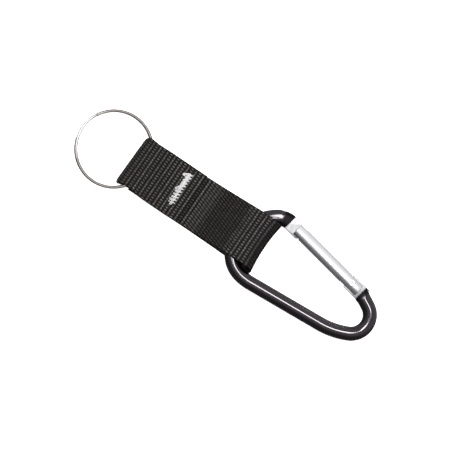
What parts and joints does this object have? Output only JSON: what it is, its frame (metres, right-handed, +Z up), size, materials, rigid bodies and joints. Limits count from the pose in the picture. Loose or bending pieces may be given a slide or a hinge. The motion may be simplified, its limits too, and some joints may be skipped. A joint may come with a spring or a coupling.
{
  "type": "carabiner key ring",
  "caption": "Sewn webbing strap with a split key ring in one loop and a sprung-gate carabiner in the other.",
  "frame": {"origin": "centre of the bounding box, on the surface that the key ring lies on", "axes": "+X along the strap from the split ring to the carabiner, +Y towards the gate side, +Z up through the flat of the strap"},
  "size_m": [0.1544, 0.0381, 0.0093],
  "materials": {
    "webbing": "coarse woven polypropylene webbing, black",
    "thread": "white sewing thread",
    "ring_steel": "nickel-plated spring steel",
    "black_anodised": "gloss black coated rod",
    "gate_aluminium": "bare, polished",
    "steel": "plain steel"
  },
  "bodies": {
    "strap": {"webbing_strap": "webbing", "bar_tack_needle_thread": "thread", "bar_tack_bobbin_thread": "thread"},
    "ring_loop": {"webbing_ring_loop": "webbing"},
    "key_ring": {"split_ring": "ring_steel"},
    "carabiner_loop": {"webbing_carabiner_loop": "webbing"},
    "carabiner": {"carabiner_frame": "black_anodised"},
    "gate": {"gate": "gate_aluminium", "gate_rivet": "steel", "gate_spring": "steel"},
    "plunger": {"spring_plunger": "steel"}
  },
  "joints": [
    {"name": "ring_swing", "type": "hinge", "parent": "strap", "child": "ring_loop", "pos_m": [-0.03428, 0, 0.00195], "axis": [0, 1, 0], "range_deg": [-90, 90]},
    {"name": "ring_spin", "type": "hinge", "parent": "ring_loop", "child": "key_ring", "pos_m": [-0.05968, -0.001, 0.00287], "axis": [-0.0814, 0, 0.9967], "continuous": true},
    {"name": "carabiner_swing", "type": "hinge", "parent": "strap", "child": "carabiner_loop", "pos_m": [-0.01228, 0, 0.0013], "axis": [0, 1, 0], "range_deg": [-90, 90]},
    {"name": "carabiner_swivel", "type": "hinge", "parent": "carabiner_loop", "child": "carabiner", "pos_m": [0.02073, 0, 0.00465], "axis": [0, 0, 1], "range_deg": [-1.5, 3]},
    {"name": "gate_hinge", "type": "hinge", "parent": "carabiner", "child": "gate", "pos_m": [0.05849, 0.00907, 0.00465], "axis": [0, 0, 1], "range_deg": [0, 42], "stiffness_Nm_per_rad": 0.05, "springref_deg": -34.38},
    {"name": "plunger_slide", "type": "slide", "parent": "gate", "child": "plunger", "axis": [-0.9824, 0.1866, 0], "range_m": [0, 0.00125], "deforming": ["gate_spring"]}
  ],
  "couplings": [
    {"joint": "plunger_slide", "follows": "gate_hinge", "m_per_rad": 0.00165}
  ]
}
